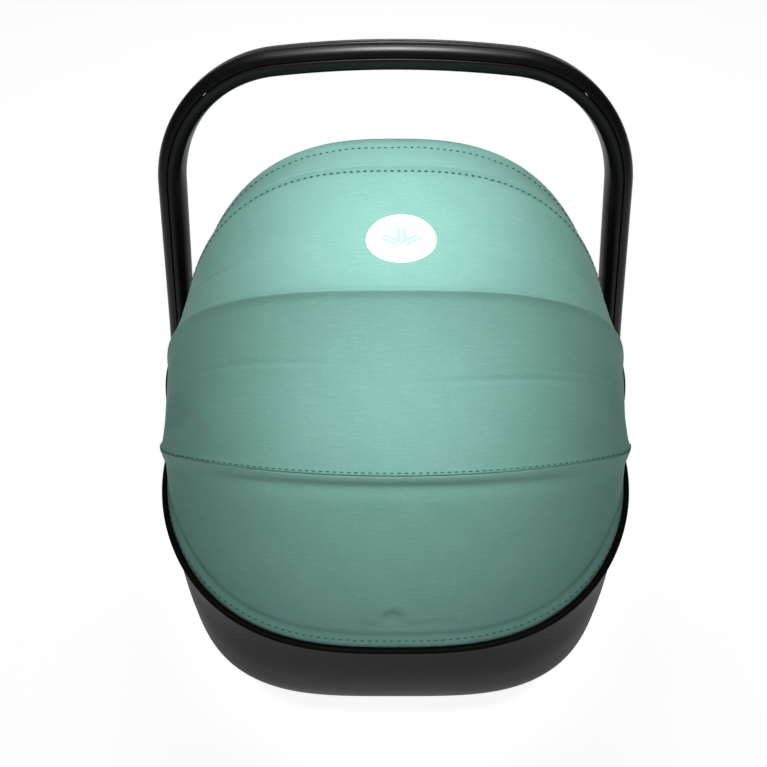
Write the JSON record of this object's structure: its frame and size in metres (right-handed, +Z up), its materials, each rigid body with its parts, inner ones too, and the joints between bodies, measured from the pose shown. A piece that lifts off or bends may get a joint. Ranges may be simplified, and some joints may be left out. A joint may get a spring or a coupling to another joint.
{
  "type": "infant car seat",
  "caption": "Rear-facing infant car seat: moulded shell with lined bowl and harness, arched carrying handle that swings on side hubs, and a folding fabric canopy on wire bows.",
  "frame": {"origin": "floor level, centre of the bounding box seen from above", "axes": "+Z up, +Y towards the foot end, +X to the right seen from the head end"},
  "size_m": [0.4412, 0.6539, 0.565],
  "materials": {
    "shell_plastic": "satin moulded",
    "handle_plastic": "satin moulded",
    "trim_plastic": "fine grain",
    "gear_plastic": "plain moulded",
    "guide_plastic": "moulded",
    "red_plastic": "moulded",
    "foam": "beaded foam",
    "cover_fabric": "melange knit",
    "inlay_fabric": "soft jersey",
    "canopy_fabric": "heathered fine weave",
    "patch_print": "matt print",
    "webbing": "narrow webbing",
    "pad_fabric": "quilted",
    "bow_wire": "coated",
    "steel": "zinc",
    "foot_rubber": "matt"
  },
  "bodies": {
    "seat": {"outer_shell": "shell_plastic", "foam_liner": "foam", "seat_cover": "cover_fabric", "inlay_cushion": "inlay_fabric", "rubber_feet": "foot_rubber", "latch_bars": "steel", "hem_elastic": "canopy_fabric", "crotch_strap": "webbing", "crotch_pad": "pad_fabric", "buckle_body": "trim_plastic", "adjuster_strap": "webbing", "adjuster_housing": "trim_plastic", "lever_pin": "steel", "base_screws": "steel", "strap_yoke": "steel", "base_skid_left": "shell_plastic", "base_skid_right": "shell_plastic", "hub_bracket_left": "shell_plastic", "hub_bracket_right": "shell_plastic", "pivot_bolt_left": "steel", "pivot_bolt_right": "steel", "canopy_rivet_left": "steel", "canopy_rivet_right": "steel", "canopy_bracket_left": "trim_plastic", "canopy_bracket_right": "trim_plastic", "shoulder_strap_left": "webbing", "shoulder_strap_right": "webbing", "shoulder_pad_left": "pad_fabric", "shoulder_pad_right": "pad_fabric", "hip_strap_left": "webbing", "hip_strap_right": "webbing", "buckle_tongue_left": "steel", "buckle_tongue_right": "steel", "belt_guide_left": "guide_plastic", "belt_guide_right": "guide_plastic"},
    "handle": {"handle_outer_half": "handle_plastic", "handle_inner_half": "handle_plastic", "handle_hub_left": "handle_plastic", "handle_hub_right": "handle_plastic", "hub_cover_left": "handle_plastic", "hub_cover_right": "handle_plastic"},
    "left_push": {"handle_button_left": "trim_plastic", "lock_gear_left": "gear_plastic", "button_spring_left": "steel"},
    "right_push": {"handle_button_right": "trim_plastic", "lock_gear_right": "gear_plastic", "button_spring_right": "steel"},
    "canopy_rear": {"rear_bow": "bow_wire", "canopy_rear_panel": "canopy_fabric"},
    "canopy_middle": {"middle_bow": "bow_wire", "canopy_upper_panel": "canopy_fabric"},
    "canopy_front": {"front_bow": "bow_wire", "canopy_crown_panel": "canopy_fabric", "canopy_brim": "canopy_fabric", "badge_patch": "patch_print"},
    "headrest": {"headrest_board": "trim_plastic", "headrest_pad": "inlay_fabric"},
    "buckle_release": {"buckle_button": "red_plastic"},
    "adjuster_release": {"adjuster_button": "trim_plastic"},
    "base_release": {"release_lever": "trim_plastic"}
  },
  "joints": [
    {"name": "handle_swing", "type": "hinge", "parent": "seat", "child": "handle", "pos_m": [0, -0.042, 0.258], "axis": [1, 0, 0], "range_deg": [-45, 125]},
    {"name": "left_button_press", "type": "slide", "parent": "handle", "child": "left_push", "axis": [1, 0, 0], "range_m": [0, 0.004], "stiffness_N_per_m": 600, "deforming": ["button_spring_left"]},
    {"name": "right_button_press", "type": "slide", "parent": "handle", "child": "right_push", "axis": [-1, 0, 0], "range_m": [0, 0.004], "stiffness_N_per_m": 600, "deforming": ["button_spring_right"]},
    {"name": "canopy_rear_fold", "type": "hinge", "parent": "seat", "child": "canopy_rear", "pos_m": [0, -0.127, 0.313], "axis": [1, 0, 0], "range_deg": [0, 17.5], "deforming": ["canopy_rear_panel"]},
    {"name": "canopy_middle_fold", "type": "hinge", "parent": "canopy_rear", "child": "canopy_middle", "pos_m": [0, -0.127, 0.313], "axis": [1, 0, 0], "range_deg": [0, 35], "deforming": ["canopy_upper_panel"]},
    {"name": "canopy_front_fold", "type": "hinge", "parent": "canopy_middle", "child": "canopy_front", "pos_m": [0, -0.127, 0.313], "axis": [1, 0, 0], "range_deg": [0, 35], "deforming": ["canopy_crown_panel", "badge_patch"]},
    {"name": "headrest_height", "type": "slide", "parent": "seat", "child": "headrest", "axis": [0, -0.6428, 0.766], "range_m": [0, 0.04]},
    {"name": "buckle_press", "type": "slide", "parent": "seat", "child": "buckle_release", "axis": [0, 0, -1], "range_m": [0, 0.004], "stiffness_N_per_m": 500},
    {"name": "adjuster_press", "type": "slide", "parent": "seat", "child": "adjuster_release", "axis": [0, 0.6561, -0.7547], "range_m": [0, 0.003], "stiffness_N_per_m": 500},
    {"name": "base_release_pull", "type": "hinge", "parent": "seat", "child": "base_release", "pos_m": [0, -0.26575, 0.10201], "axis": [-1, 0, 0], "range_deg": [0, 12], "stiffness_Nm_per_rad": 1.2}
  ],
  "couplings": [
    {"joint": "canopy_middle_fold", "follows": "canopy_rear_fold", "ratio": 2},
    {"joint": "canopy_front_fold", "follows": "canopy_rear_fold", "ratio": 2}
  ]
}
